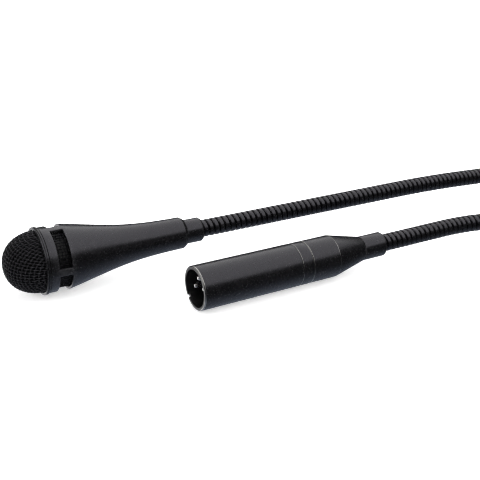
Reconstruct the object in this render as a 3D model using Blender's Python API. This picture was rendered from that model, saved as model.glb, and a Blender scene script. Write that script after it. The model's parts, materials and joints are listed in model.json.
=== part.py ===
"""A gooseneck podium microphone with a three-pin plug, lying with its neck looped.

Frame: metres, +Z up.  The origin is the centre of the contact insert's front face.
The plug's axis is the X axis: its open end points along -X and the neck leaves along +X.
The neck loops round and brings the microphone head back beside the plug.
All driving dimensions below are in millimetres and degrees.
"""
import math

import bmesh
import bpy
from mathutils import Matrix, Vector

MM = 0.001

# Gap kept between pieces that touch
GAP = 0.3

# Plug, measured along X from the insert's front face
PIN_RECESS = 14.5
BARREL_R = 9.5
BARREL_REAR_R = 9.34
BARREL_BORE_R = 8.05
BARREL_END = 32.4
COLLAR_END = 37.9
COLLAR_R = 9.32
CONE_START = 51.5
CONE_END = 67.3
CONE_FRONT_R = 9.3
CONE_START_R = 9.28
CONE_END_R = 5.5
CONE_BORE_START = 50.0
CONE_BORE_END = 58.5
HOUSING_BORE_R = 7.9
FERRULE_SOCKET_R = 5.1
PLUG_REAR = 79.3
RIM_ROUND = 0.5
RIM_BEVEL = 0.3
RIM_BEVEL_DEPTH = 0.2
KEY_NOTCH_ANGLE = -42.0
KEY_NOTCH_HALF_WIDTH = 0.9
KEY_NOTCH_DEPTH = 1.3
KEY_NOTCH_CUT_R = (7.4, 8.8)
SLEEVE_ENDS = (27.0, 46.0)
SLEEVE_RADII = (6.7, 7.6)

# Ferrules, alike at both ends of the neck
FERRULE_R = 5.4
FERRULE_BORE_R = 4.25
FERRULE_CHAMFER = 0.5
FERRULE_ROUND = 0.2
SPIGOT_R = 4.75
PLUG_SPIGOT_START = 65.5
HEAD_SPIGOT_START = 79.0

# Contact insert and pins
INSERT_R = 7.7
INSERT_DEPTH = 10.0
PIN_R = 1.2
PIN_CIRCLE_R = 4.0
PIN_ANGLES = (78.0, -12.0, 168.0)
PIN_TIP = -12.7
PIN_TIP_STEPS = ((0.25, 0.72), (0.9, 1.2))
PIN_TAIL = 16.0
SOLDER_CUP_R = 0.74
SOLDER_CUP_DEPTH = 3.0
PIN_HOLE_R = 1.55
PIN_HOLE_PAST = 1.0
RETAINER_LENGTH = 1.1
RETAINER_RADII = (6.5, 7.7)
EARTH_TAG_LOW = (11.8, -1.2, -6.9)
EARTH_TAG_HIGH = (19.5, 1.2, -6.4)

# Head, measured along its own axis from the tip of the grille
HEAD_TIP = (-80.0, 46.4)
HEAD_TURN = -1.5
HEAD_LENGTH = 90.5
DOME_R = 13.5
DOME_DEPTH = 16.0
DOME_POWER = 2.2
DOME_WALL = 0.7
DOME_END = 15.9
RING_START = 14.6
RING_END = 16.2
RING_R = 14.6
BAND_R = 14.1
SLOT_START = 20.2
SLOT_END = 25.7
SLOT_COUNT = 4
SLOT_ANGLE = 77.0
SLOT_TURN = 4.5
SLOT_CUT_R = (11.55, 16.35)
FLARE_R = 14.15
FLARE_STEPS = 9
BODY_REAR_R = 7.05
BODY_WALL = 1.3
BODY_CHAMFER_START = 80.6
BODY_END = 82.0
BODY_END_R = 6.2
BODY_LIP = 1.6
BAND_BORE_R = 12.7
FLARE_FRONT_HANDLE = (22.0, -4.17)
FLARE_REAR_HANDLE = (28.0, 0.31)
FOAM_INSET = 1.3
FOAM_WALL = 1.6
FOAM_END = 15.4
MESH_ENDS = (17.4, 26.4)
MESH_RADII = (11.6, 12.1)

# Dynamic capsule inside the head
CAPSULE_START = 16.5
CAPSULE_END = 31.0
CAPSULE_R = 10.8
CAPSULE_WALL = 0.8
CAPSULE_BACK_WALL = 1.2
CAPSULE_CABLE_HOLE_R = 2.0
COVER_ENDS = (16.6, 17.3)
COVER_R = 9.6
COVER_HOLES = 6
COVER_HOLE_R = 1.5
COVER_HOLE_CIRCLE_R = 6.0
DIAPHRAGM_AT = 18.8
DIAPHRAGM_FILM = 0.35
DIAPHRAGM_WAVE = ((-1.0, 0.0), (-0.8, 2.4), (0.0, 5.2), (-0.4, 7.2), (0.0, 9.4))
COIL_RADII = (4.95, 5.4)
COIL_REACH = 3.6
POLE_ENDS = (20.8, 23.2)
POLE_R = 4.5
MAGNET_ENDS = (23.5, 27.3)
MAGNET_R = 4.3
TOP_PLATE_ENDS = (20.8, 22.8)
TOP_PLATE_RADII = (5.9, 9.6)
YOKE_FRONT = 23.1
YOKE_FLOOR = 27.6
YOKE_BACK = 29.3
YOKE_RADII = (8.4, 9.6)
SHOCK_ENDS = (27.2, 29.2)
SHOCK_R = 11.5
BOARD_BACK = 32.7
BOARD_THICKNESS = 1.2
BOARD_R = 6.0
GROMMET_ENDS = (56.0, 60.0)
GROMMET_R = 6.2

# Neck and the cable inside it
NECK_R = 3.9
NECK_BORE_R = 2.5
CUP_R = 4.4
NECK_INSERTION = 14.0
LINK_STEP_DEGREES = 13.0
BUSH_FLANGE = 1.6
BUSH_FLANGE_R = 4.7
BUSH_R = 2.15
BUSH_END = 4.0
CABLE_R = 1.3
CABLE_POINTS = 76
CABLE_BORE_R = 1.65
CABLE_START = 26.0
CABLE_END_IN_HEAD = 41.0
CLAMP_START = 37.0
CLAMP_TAPER = 47.0
CLAMP_END = 50.5
CLAMP_R = 6.2
CLAMP_END_R = 4.8
CONDUCTOR_R = 0.45
CONDUCTOR_STEPS = 5
CONDUCTOR_SIDES = 6
CONDUCTOR_LEAN = 0.45
GATHERED_R = 1.0
HEAD_CONDUCTOR_Z = (-2.6, 2.6)
HEAD_GATHERED_Z = (-0.65, 0.65)

# The neck's route: a run behind each end, joined by a loop of three arcs
PLUG_BEND_START = 114.0
PLUG_BEND_R = 105.0
HEAD_BEND_START = 168.0
HEAD_BEND_R = 62.0
LOOP_R = 48.0
SINK_RANGE_PLUG = (40.0, 200.0)
SINK_RANGE_HEAD = (215.0, 405.0)

# Hinges along the neck
NECK_STUB = 25.0
YAW_HINGES = 15
PITCH_AFTER_YAW = (2, 6, 10, 13)

FINE_SIDES = 24
PLAIN_SIDES = 16
SMALL_SIDES = 12
HOLE_SIDES = 8
SMOOTH_ANGLE = math.radians(35)


# ---------------------------------------------------------------- scene and materials

def clear_scene():
    """Remove what the scene holds."""
    for thing in list(bpy.data.objects):
        bpy.data.objects.remove(thing, do_unlink=True)


def material(name, colour, roughness, metallic):
    """A Principled material, made once for each name."""
    made = bpy.data.materials.get(name)
    if made is None:
        made = bpy.data.materials.new(name)
        made.use_nodes = True
        shader = made.node_tree.nodes["Principled BSDF"]
        shader.inputs["Base Color"].default_value = (*colour, 1.0)
        shader.inputs["Roughness"].default_value = roughness
        shader.inputs["Metallic"].default_value = metallic
    return made


def satin_black():
    return material("satin_black_coat", (0.022, 0.022, 0.024), 0.42, 0.3)


def neck_black():
    return material("neck_black_coat", (0.018, 0.018, 0.02), 0.38, 0.4)


def mesh_black():
    return material("mesh_black_coat", (0.016, 0.016, 0.018), 0.45, 0.4)


def foam_black():
    return material("black_foam", (0.01, 0.01, 0.01), 0.95, 0.0)


def insert_black():
    return material("black_moulding", (0.015, 0.015, 0.016), 0.5, 0.0)


def silver_plate():
    return material("silver_plate", (0.85, 0.84, 0.82), 0.18, 1.0)


def bare_steel():
    return material("bare_steel", (0.55, 0.55, 0.56), 0.35, 1.0)


def magnet_grey():
    return material("magnet_grey", (0.16, 0.16, 0.17), 0.5, 0.8)


def coil_copper():
    return material("coil_copper", (0.72, 0.35, 0.18), 0.35, 1.0)


def clear_film():
    return material("diaphragm_film", (0.62, 0.63, 0.62), 0.25, 0.0)


def grey_rubber():
    return material("grey_rubber", (0.06, 0.06, 0.06), 0.8, 0.0)


def brass():
    return material("brass_fitting", (0.70, 0.52, 0.24), 0.3, 1.0)


def board_green():
    return material("board_green", (0.03, 0.16, 0.08), 0.5, 0.0)


def cable_black():
    return material("cable_jacket", (0.02, 0.02, 0.02), 0.6, 0.0)


# ---------------------------------------------------------------- mesh helpers

def empty(name, location, parent=None, turn=0.0):
    """A guide on a joint's axis, turned about Z by turn degrees."""
    guide = bpy.data.objects.new(name, None)
    guide.empty_display_size = 5 * MM
    guide.location = [c * MM for c in location]
    guide.rotation_euler = (0.0, 0.0, math.radians(turn))
    guide.parent = parent
    bpy.context.scene.collection.objects.link(guide)
    return guide


def finish_object(name, bm, finish, parent=None, location=(0.0, 0.0, 0.0)):
    """Turn a bmesh in millimetres into a placed object in metres."""
    bmesh.ops.remove_doubles(bm, verts=bm.verts, dist=0.001)
    bmesh.ops.recalc_face_normals(bm, faces=bm.faces)
    bmesh.ops.scale(bm, vec=(MM, MM, MM), verts=bm.verts)
    mesh = bpy.data.meshes.new(name)
    bm.to_mesh(mesh)
    bm.free()
    mesh.shade_smooth()
    mesh.set_sharp_from_angle(angle=SMOOTH_ANGLE)
    mesh.materials.append(finish)
    made = bpy.data.objects.new(name, mesh)
    made.parent = parent
    made.location = [c * MM for c in location]
    bpy.context.scene.collection.objects.link(made)
    return made


def spun(outline, sides):
    """A bmesh turned about X from (x, radius) points; a ring if none lies on the axis."""
    bm = bmesh.new()
    points = [bm.verts.new((x, 0.0, r)) for x, r in outline]
    on_axis = any(r == 0.0 for _, r in outline)
    following = points[1:] if on_axis else points[1:] + points[:1]
    edges = [bm.edges.new(pair) for pair in zip(points, following)]
    bmesh.ops.spin(
        bm,
        geom=points + edges,
        cent=(0, 0, 0),
        axis=(1, 0, 0),
        angle=2 * math.pi,
        steps=sides,
        use_merge=True,
    )
    return bm


def turned(name, outline, finish, parent=None, location=(0, 0, 0), sides=FINE_SIDES):
    """A turned piece on the X axis."""
    return finish_object(name, spun(outline, sides), finish, parent, location)


def bezier(p0, p1, p2, p3, t):
    """A point of a cubic Bezier curve."""
    u = 1 - t
    return p0 * u**3 + p1 * (3 * t * u * u) + p2 * (3 * t * t * u) + p3 * t**3


def ring_outline(x0, x1, inner, outer):
    """The outline of a plain ring."""
    return [(x0, inner), (x0, outer), (x1, outer), (x1, inner)]


def disc_outline(x0, x1, radius):
    """The outline of a plain disc."""
    return [(x0, 0.0), (x0, radius), (x1, radius), (x1, 0.0)]


def box_bmesh(low, high):
    """A box between two corners."""
    bm = bmesh.new()
    size = [b - a for a, b in zip(low, high)]
    middle = [(a + b) / 2 for a, b in zip(low, high)]
    place = Matrix.Translation(middle) @ Matrix.Diagonal((*size, 1.0))
    bmesh.ops.create_cube(bm, size=1.0, matrix=place)
    return bm


def cut(target, cutter):
    """Cut one object by a hidden one."""
    cutter.hide_render = True
    cutter.display_type = "WIRE"
    step = target.modifiers.new(cutter.name, "BOOLEAN")
    step.operation = "DIFFERENCE"
    step.solver = "EXACT"
    step.object = cutter


def frame_along(point, tangent):
    """A matrix whose X is the tangent and whose Y stays level."""
    side = Vector((0, 0, 1)).cross(tangent).normalized()
    up = tangent.cross(side)
    columns = Matrix((tangent, side, up)).transposed().to_4x4()
    return Matrix.Translation(point) @ columns


def ring_of(bm, frame, offset, radius, sides):
    """A circle of vertices round the frame's X axis, offset along it."""
    made = []
    for k in range(sides):
        angle = 2 * math.pi * k / sides
        local = Vector((offset, radius * math.cos(angle), radius * math.sin(angle)))
        made.append(bm.verts.new(frame @ local))
    return made


def join_rings(bm, first, second):
    """Faces between two rings of as many vertices."""
    sides = len(first)
    for k in range(sides):
        n = (k + 1) % sides
        bm.faces.new((first[k], first[n], second[n], second[k]))


def swept(bm, frames, radius, sides):
    """A capped tube through a list of frames."""
    rings = [ring_of(bm, frame, 0.0, radius, sides) for frame in frames]
    for first, second in zip(rings, rings[1:]):
        join_rings(bm, first, second)
    bm.faces.new(rings[0])
    bm.faces.new(list(reversed(rings[-1])))


# ---------------------------------------------------------------- the neck's route

HEAD_AXIS = Vector((math.cos(math.radians(HEAD_TURN)), math.sin(math.radians(HEAD_TURN))))
HEAD_SIDE = Vector((-HEAD_AXIS.y, HEAD_AXIS.x))
HEAD_REAR = Vector(HEAD_TIP) + HEAD_AXIS * HEAD_LENGTH
HEAD_Z = RING_R - BARREL_R
LOOP_Z = NECK_R - BARREL_R


def angle_of(vector):
    """The heading of a flat vector."""
    return math.atan2(vector.y, vector.x)


def loop_arcs():
    """The three arcs of the loop: (centre, radius, first angle, signed turn)."""
    first = Vector((PLUG_BEND_START, -PLUG_BEND_R))
    run = (HEAD_BEND_START - HEAD_REAR.x) / HEAD_AXIS.x
    last_end = HEAD_REAR + HEAD_AXIS * run
    last = last_end + HEAD_SIDE * HEAD_BEND_R
    across = last - first
    reach = across.length
    one, two = LOOP_R + PLUG_BEND_R, LOOP_R + HEAD_BEND_R
    along = (one * one - two * two + reach * reach) / (2 * reach)
    out = math.sqrt(one * one - along * along)
    unit = across / reach
    middle = first + unit * along + Vector((unit.y, -unit.x)) * out
    plug_turn = math.pi / 2 - angle_of(middle - first)
    loop_turn = (angle_of(last - middle) - angle_of(first - middle)) % (2 * math.pi)
    head_turn = (angle_of(middle - last) - angle_of(last_end - last)) % (2 * math.pi)
    return run, [
        (first, PLUG_BEND_R, math.pi / 2, -plug_turn),
        (middle, LOOP_R, angle_of(first - middle), loop_turn),
        (last, HEAD_BEND_R, angle_of(middle - last), -head_turn),
    ]


HEAD_RUN, ARCS = loop_arcs()
PLUG_RUN = PLUG_BEND_START - PLUG_REAR
LOOP_LENGTHS = [radius * abs(turn) for _, radius, _, turn in ARCS]
NECK_LENGTH = PLUG_RUN + sum(LOOP_LENGTHS) + HEAD_RUN


def ease(u):
    """A smooth step from 0 to 1."""
    u = min(max(u, 0.0), 1.0)
    return u * u * (3 - 2 * u)


def neck_height(s):
    """Height of the neck's centre: level at both ends, down on the table in the loop."""
    low, high = SINK_RANGE_PLUG
    if s < high:
        return LOOP_Z * ease((s - low) / (high - low))
    low, high = SINK_RANGE_HEAD
    return LOOP_Z + (HEAD_Z - LOOP_Z) * ease((s - low) / (high - low))


def flat_route(s):
    """Plan position and heading at a length s along the neck from the plug's rear."""
    if s <= PLUG_RUN:
        return Vector((PLUG_REAR + s, 0.0)), 0.0
    done = PLUG_RUN
    heading = 0.0
    for (centre, radius, start, turn), length in zip(ARCS, LOOP_LENGTHS):
        if s <= done + length:
            swing = turn * (s - done) / length
            angle = start + swing
            spot = centre + radius * Vector((math.cos(angle), math.sin(angle)))
            return spot, heading + swing
        done += length
        heading += turn
    return HEAD_REAR + HEAD_AXIS * (NECK_LENGTH - s), heading


def neck_point(s):
    """Centre of the neck at length s."""
    spot, _ = flat_route(s)
    return Vector((spot.x, spot.y, neck_height(s)))


def neck_frame(s):
    """Frame of the neck at length s, X along the neck."""
    step = 0.01
    tangent = (neck_point(s + step) - neck_point(s - step)).normalized()
    return frame_along(neck_point(s), tangent)


def hinge_stations():
    """Lengths along the neck of all hinges, in order, with their kind."""
    pitch = (NECK_LENGTH - 2 * NECK_STUB) / (YAW_HINGES - 1)
    found = [(NECK_STUB + k * pitch, "yaw") for k in range(YAW_HINGES)]
    found += [(NECK_STUB + (k - 0.5) * pitch, "pitch") for k in PITCH_AFTER_YAW]
    return sorted(found)


# ---------------------------------------------------------------- neck

def link_stations(start, end):
    """Lengths at which a link's rings stand, closer together where it bends."""
    bend = abs(flat_route(end)[1] - flat_route(start)[1])
    steps = max(1, math.ceil(math.degrees(bend) / LINK_STEP_DEGREES))
    return [start + (end - start) * k / steps for k in range(steps + 1)]


def neck_link(name, start, end, cup, ball, parent, origin):
    """A hollow link: a cup round the hinge behind it and a ball on the hinge ahead."""
    bm = bmesh.new()
    sides = SMALL_SIDES
    shift = Matrix.Translation(-origin)
    behind = shift @ neck_frame(start)
    ahead = shift @ neck_frame(end)
    rim = math.sqrt(CUP_R**2 - NECK_R**2) if cup else 0.0
    throat = math.sqrt(CUP_R**2 - NECK_BORE_R**2) if cup else 0.0
    outer_at = link_stations(start + rim, end)
    inner_at = link_stations(start + throat, end)
    rings = [ring_of(bm, shift @ neck_frame(s), 0.0, NECK_R, sides) for s in outer_at]
    if ball:
        mouth = math.acos(NECK_BORE_R / NECK_R)
        for angle in (mouth / 2, mouth):
            radius, offset = NECK_R * math.cos(angle), NECK_R * math.sin(angle)
            rings.append(ring_of(bm, ahead, offset, radius, sides))
        inner_at = inner_at[:-1] + [end - 0.5]
    for s in reversed(inner_at):
        rings.append(ring_of(bm, shift @ neck_frame(s), 0.0, NECK_BORE_R, sides))
    if cup:
        waist = (NECK_R + NECK_BORE_R) / 2
        rings.append(ring_of(bm, behind, math.sqrt(CUP_R**2 - waist**2), waist, sides))
    for first, second in zip(rings, rings[1:] + rings[:1]):
        join_rings(bm, first, second)
    return finish_object(name, bm, neck_black(), parent)


def make_neck():
    """All links, from the one fixed in the plug to the one fixed in the head."""
    hinges = hinge_stations()
    starts = [-NECK_INSERTION] + [s for s, _ in hinges]
    ends = [s for s, _ in hinges] + [NECK_LENGTH + NECK_INSERTION]
    pivots = []
    for number, (start, end) in enumerate(zip(starts, ends)):
        first, last = number == 0, number == len(hinges)
        origin = Vector((0, 0, 0))
        parent = None
        if not first:
            origin = neck_point(start)
            turn = HEAD_TURN if last else 0.0
            parent = empty(f"neck_pivot_{number:02d}", origin, turn=turn)
            pivots.append(parent)
        made = neck_link(
            f"neck_link_{number + 1:02d}", start, end, not first, not last, parent, origin
        )
        if last:
            made.rotation_euler = (0.0, 0.0, -math.radians(HEAD_TURN))
    return pivots[-1]


def make_cable():
    """The cable inside the neck, from the plug's pins to the capsule."""
    start = CABLE_START - PLUG_REAR
    end = NECK_LENGTH + HEAD_LENGTH - CABLE_END_IN_HEAD
    route = bpy.data.curves.new("cable", "CURVE")
    route.dimensions = "3D"
    route.bevel_depth = CABLE_R * MM
    route.bevel_resolution = 2
    route.use_fill_caps = True
    spline = route.splines.new("POLY")
    spline.points.add(CABLE_POINTS - 1)
    for k, point in enumerate(spline.points):
        spot = neck_point(start + (end - start) * k / (CABLE_POINTS - 1))
        point.co = (*(spot * MM), 1.0)
    route.materials.append(cable_black())
    made = bpy.data.objects.new("cable", route)
    bpy.context.scene.collection.objects.link(made)


# ---------------------------------------------------------------- plug

def plug_barrel():
    """The barrel, open at the front, with a bevel inside its rim."""
    face = -PIN_RECESS
    outline = [
        (face, BARREL_BORE_R + RIM_BEVEL_DEPTH),
        (face, BARREL_R - RIM_ROUND),
        (face + RIM_ROUND, BARREL_R),
        (BARREL_END, BARREL_REAR_R),
        (BARREL_END, BARREL_BORE_R),
        (face + RIM_BEVEL, BARREL_BORE_R),
    ]
    made = turned("plug_barrel", outline, satin_black())
    low, high = KEY_NOTCH_CUT_R
    bm = box_bmesh(
        (face - 1.0, -KEY_NOTCH_HALF_WIDTH, low), (face + KEY_NOTCH_DEPTH, KEY_NOTCH_HALF_WIDTH, high)
    )
    spin = Matrix.Rotation(math.radians(KEY_NOTCH_ANGLE - 90.0), 4, "X")
    bmesh.ops.transform(bm, matrix=spin, verts=bm.verts)
    cut(made, finish_object("key_notch_cutter", bm, satin_black()))


def plug_collar():
    """The plain band between barrel and rear housing."""
    outline = ring_outline(BARREL_END + GAP, COLLAR_END, HOUSING_BORE_R, COLLAR_R)
    turned("plug_collar", outline, satin_black())


def plug_rear_cone():
    """The rear housing: a short barrel running into a straight cone."""
    front = COLLAR_END + GAP
    outline = [
        (front, HOUSING_BORE_R),
        (front, CONE_FRONT_R),
        (CONE_START, CONE_START_R),
        (CONE_END, CONE_END_R),
        (CONE_END, FERRULE_SOCKET_R),
        (CONE_BORE_END, FERRULE_SOCKET_R),
        (CONE_BORE_START, HOUSING_BORE_R),
    ]
    turned("plug_rear_cone", outline, satin_black())


def ferrule_outline(shoulder, end, spigot):
    """A ferrule from its shoulder to its free end, with a spigot in front of the shoulder."""
    way = math.copysign(1.0, end - shoulder)
    return [
        (spigot, FERRULE_BORE_R),
        (spigot, SPIGOT_R),
        (shoulder, SPIGOT_R),
        (shoulder, FERRULE_R - FERRULE_ROUND),
        (shoulder + way * FERRULE_ROUND, FERRULE_R),
        (end - way * FERRULE_CHAMFER, FERRULE_R),
        (end, FERRULE_R - FERRULE_CHAMFER),
        (end, FERRULE_BORE_R),
    ]


def plug_ferrule():
    """The ferrule from which the neck leaves the plug."""
    outline = ferrule_outline(CONE_END + GAP, PLUG_REAR, PLUG_SPIGOT_START)
    turned("plug_ferrule", outline, satin_black())


def coupling_sleeve():
    """The inner sleeve that joins barrel, collar and rear cone."""
    outline = ring_outline(*SLEEVE_ENDS, *SLEEVE_RADII)
    turned("coupling_sleeve", outline, bare_steel(), sides=PLAIN_SIDES)


def pin_places():
    """Each pin's place across the axis."""
    for angle in PIN_ANGLES:
        turn = math.radians(angle)
        yield PIN_CIRCLE_R * math.cos(turn), PIN_CIRCLE_R * math.sin(turn)


def contact_insert():
    """The moulded disc that carries the pins."""
    made = turned("contact_insert", disc_outline(0.0, INSERT_DEPTH, INSERT_R), insert_black())
    for number, (y, z) in enumerate(pin_places(), 1):
        hole = disc_outline(-PIN_HOLE_PAST, INSERT_DEPTH + PIN_HOLE_PAST, PIN_HOLE_R)
        name = f"pin_hole_cutter_{number}"
        cut(made, turned(name, hole, insert_black(), location=(0, y, z), sides=SMALL_SIDES))


def contact_pins():
    """Three solid pins with domed tips and hollow solder cups."""
    outline = [(PIN_TIP, 0.0)]
    outline += [(PIN_TIP + back, radius) for back, radius in PIN_TIP_STEPS]
    outline += [
        (PIN_TAIL, PIN_R),
        (PIN_TAIL, SOLDER_CUP_R),
        (PIN_TAIL - SOLDER_CUP_DEPTH, SOLDER_CUP_R),
        (PIN_TAIL - SOLDER_CUP_DEPTH, 0.0),
    ]
    for number, (y, z) in enumerate(pin_places(), 1):
        place = (0, y, z)
        turned(f"pin_{number}", outline, silver_plate(), location=place, sides=SMALL_SIDES)


def insert_retainer():
    """The ring that holds the insert in the barrel."""
    start = INSERT_DEPTH + GAP
    outline = ring_outline(start, start + RETAINER_LENGTH, *RETAINER_RADII)
    turned("insert_retainer", outline, bare_steel(), sides=PLAIN_SIDES)


def earth_tag():
    """The shell's solder tag, behind the retainer."""
    finish_object("earth_tag", box_bmesh(EARTH_TAG_LOW, EARTH_TAG_HIGH), silver_plate())


def cable_clamp():
    """The chuck that grips the cable inside the rear housing."""
    outline = [
        (CLAMP_START, CABLE_BORE_R),
        (CLAMP_START, CLAMP_R),
        (CLAMP_TAPER, CLAMP_R),
        (CLAMP_END, CLAMP_END_R),
        (CLAMP_END, CABLE_BORE_R),
    ]
    turned("cable_clamp", outline, insert_black(), sides=PLAIN_SIDES)


def neck_bush(name, flange, end, parent=None, location=(0, 0, 0)):
    """The flanged bush pressed into an end of the neck."""
    way = math.copysign(1.0, end - flange)
    inner_face = flange + way * BUSH_FLANGE
    outline = [
        (flange, CABLE_BORE_R),
        (flange, BUSH_FLANGE_R),
        (inner_face, BUSH_FLANGE_R),
        (inner_face, BUSH_R),
        (end, BUSH_R),
        (end, CABLE_BORE_R),
    ]
    turned(name, outline, brass(), parent, location, sides=SMALL_SIDES)


def conductor(name, start, end, parent=None, location=(0, 0, 0)):
    """One thin insulated wire, in an S bend from a solder tail to the cable's end."""
    bm = bmesh.new()
    start, end = Vector(start), Vector(end)
    lean = Vector((end.x - start.x, 0.0, 0.0)) * CONDUCTOR_LEAN
    near, far = start + lean, end - lean
    frames = []
    for k in range(CONDUCTOR_STEPS + 1):
        t = k / CONDUCTOR_STEPS
        spot = bezier(start, near, far, end, t)
        slope = (near - start) * (1 - t) ** 2 + (far - near) * 2 * t * (1 - t) + (end - far) * t * t
        frames.append(frame_along(spot, slope.normalized()))
    swept(bm, frames, CONDUCTOR_R, CONDUCTOR_SIDES)
    finish_object(name, bm, cable_black(), parent, location)


def plug_conductors():
    """One wire for each pin, gathered at the cable."""
    inward = GATHERED_R / PIN_CIRCLE_R
    for number, (y, z) in enumerate(pin_places(), 1):
        tail = (PIN_TAIL + GAP, y, z)
        gathered = (CABLE_START - GAP, y * inward, z * inward)
        conductor(f"plug_conductor_{number}", tail, gathered)


def make_plug():
    """Everything fixed to the plug's barrel."""
    plug_barrel()
    plug_collar()
    plug_rear_cone()
    plug_ferrule()
    coupling_sleeve()
    contact_insert()
    contact_pins()
    insert_retainer()
    earth_tag()
    cable_clamp()
    flange = PLUG_REAR - NECK_INSERTION - GAP - BUSH_FLANGE
    neck_bush("neck_bush_plug", flange, PLUG_REAR - BUSH_END)
    plug_conductors()


# ---------------------------------------------------------------- head

def dome_radius(x, inset):
    """Radius of the domed grille at x from its tip, or of a layer inset inside it."""
    depth, radius = DOME_DEPTH - inset, DOME_R - inset
    u = min(max((x - inset) / depth, 0.0), 1.0)
    return radius * (1 - (1 - u) ** DOME_POWER) ** (1 / DOME_POWER)


def dome_side(inset, end, steps):
    """Points of one dome surface, closer together towards the tip."""
    points = []
    for k in range(steps + 1):
        x = inset + (end - inset) * (k / steps) ** 2
        points.append((x, dome_radius(x, inset)))
    return points


def dome_shell(name, inset, wall, end, steps, finish, parent, location, sides):
    """A thin domed shell, open at the rear."""
    outer = dome_side(inset, end, steps)
    inner = dome_side(inset + wall, end, steps)
    turned(name, outer + inner[::-1], finish, parent, location, sides)


def flare_points(steps):
    """The head body's flare as one Bezier curve from the slots to the rear."""
    p0 = Vector((SLOT_END, FLARE_R))
    p3 = Vector((BODY_CHAMFER_START, BODY_REAR_R))
    p1 = p0 + Vector(FLARE_FRONT_HANDLE)
    p2 = p3 - Vector((FLARE_REAR_HANDLE[0], -FLARE_REAR_HANDLE[1]))
    return [tuple(bezier(p0, p1, p2, p3, k / steps)) for k in range(steps + 1)]


def head_body(parent, location):
    """The slotted, trumpet-shaped housing."""
    flare = flare_points(FLARE_STEPS)
    front = RING_END + GAP
    outer = [(front, BAND_R), (SLOT_START, BAND_R)] + flare
    throat = BODY_END - BODY_LIP
    outer += [(BODY_END, BODY_END_R), (BODY_END, FERRULE_SOCKET_R), (throat, FERRULE_SOCKET_R)]
    inner = [(x, r - BODY_WALL) for x, r in reversed(flare[::2]) if x < throat]
    inner += [(front, BAND_BORE_R)]
    made = turned("head_body", outer + inner, satin_black(), parent, location)
    for number in range(SLOT_COUNT):
        middle = 360.0 / SLOT_COUNT * (number + 0.5) + SLOT_TURN
        name = f"slot_cutter_{number + 1}"
        cut(made, sector_cutter(name, middle, parent, location))


def sector_cutter(name, middle, parent, location):
    """A block that cuts one slot, between two planes through the axis."""
    bm = bmesh.new()
    half = math.radians(SLOT_ANGLE / 2)
    corners = []
    for x in (SLOT_START, SLOT_END):
        for radius in SLOT_CUT_R:
            for angle in (-half, 0.0, half):
                turn = math.radians(middle) + angle
                corners.append(bm.verts.new((x, radius * math.cos(turn), radius * math.sin(turn))))
    a, b = corners[:6], corners[6:]
    for side in (a, b):
        bm.faces.new((side[0], side[1], side[4], side[3]))
        bm.faces.new((side[1], side[2], side[5], side[4]))
    for i, j in ((0, 1), (1, 2), (2, 5), (5, 4), (4, 3), (3, 0)):
        bm.faces.new((a[i], a[j], b[j], b[i]))
    return finish_object(name, bm, satin_black(), parent, location)


def capsule_cover(parent, location):
    """The pierced disc in front of the diaphragm."""
    outline = disc_outline(*COVER_ENDS, COVER_R)
    cover = turned("capsule_cover", outline, bare_steel(), parent, location, PLAIN_SIDES)
    hole = disc_outline(COVER_ENDS[0] - 1.0, COVER_ENDS[1] + 1.0, COVER_HOLE_R)
    for number in range(COVER_HOLES):
        turn = 2 * math.pi * number / COVER_HOLES
        y, z = COVER_HOLE_CIRCLE_R * math.cos(turn), COVER_HOLE_CIRCLE_R * math.sin(turn)
        name = f"cover_hole_cutter_{number + 1}"
        spot = (location[0], y, z)
        cut(cover, turned(name, hole, bare_steel(), parent, spot, HOLE_SIDES))


def capsule(parent, location):
    """The fixed pieces of the moving-coil capsule."""
    bore = CAPSULE_R - CAPSULE_WALL
    back = CAPSULE_END - CAPSULE_BACK_WALL
    housing = [
        (CAPSULE_START, bore),
        (CAPSULE_START, CAPSULE_R),
        (CAPSULE_END, CAPSULE_R),
        (CAPSULE_END, CAPSULE_CABLE_HOLE_R),
        (back, CAPSULE_CABLE_HOLE_R),
        (back, bore),
    ]
    yoke = [
        (YOKE_BACK, 0.0),
        (YOKE_BACK, YOKE_RADII[1]),
        (YOKE_FRONT, YOKE_RADII[1]),
        (YOKE_FRONT, YOKE_RADII[0]),
        (YOKE_FLOOR, YOKE_RADII[0]),
        (YOKE_FLOOR, 0.0),
    ]
    top_plate = ring_outline(*TOP_PLATE_ENDS, *TOP_PLATE_RADII)
    shock_mount = ring_outline(*SHOCK_ENDS, CAPSULE_R + GAP, SHOCK_R)
    board = disc_outline(BOARD_BACK - BOARD_THICKNESS, BOARD_BACK, BOARD_R)
    place = dict(parent=parent, location=location, sides=PLAIN_SIDES)
    turned("capsule_housing", housing, insert_black(), **place)
    turned("pole_piece", disc_outline(*POLE_ENDS, POLE_R), bare_steel(), **place)
    turned("magnet", disc_outline(*MAGNET_ENDS, MAGNET_R), magnet_grey(), **place)
    turned("top_plate", top_plate, bare_steel(), **place)
    turned("yoke_cup", yoke, bare_steel(), **place)
    turned("shock_mount", shock_mount, grey_rubber(), **place)
    turned("terminal_board", board, board_green(), **place)


def diaphragm(parent, location):
    """The domed film and its coil, which slide together along the head's axis."""
    front = [(DIAPHRAGM_AT + x, r) for x, r in DIAPHRAGM_WAVE]
    back = [(x + DIAPHRAGM_FILM, r) for x, r in reversed(front)]
    coil_start = DIAPHRAGM_AT + DIAPHRAGM_FILM + GAP
    coil = ring_outline(coil_start, DIAPHRAGM_AT + COIL_REACH, *COIL_RADII)
    place = dict(parent=parent, location=location, sides=PLAIN_SIDES)
    turned("diaphragm", front + back, clear_film(), **place)
    turned("voice_coil", coil, coil_copper(), **place)


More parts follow.
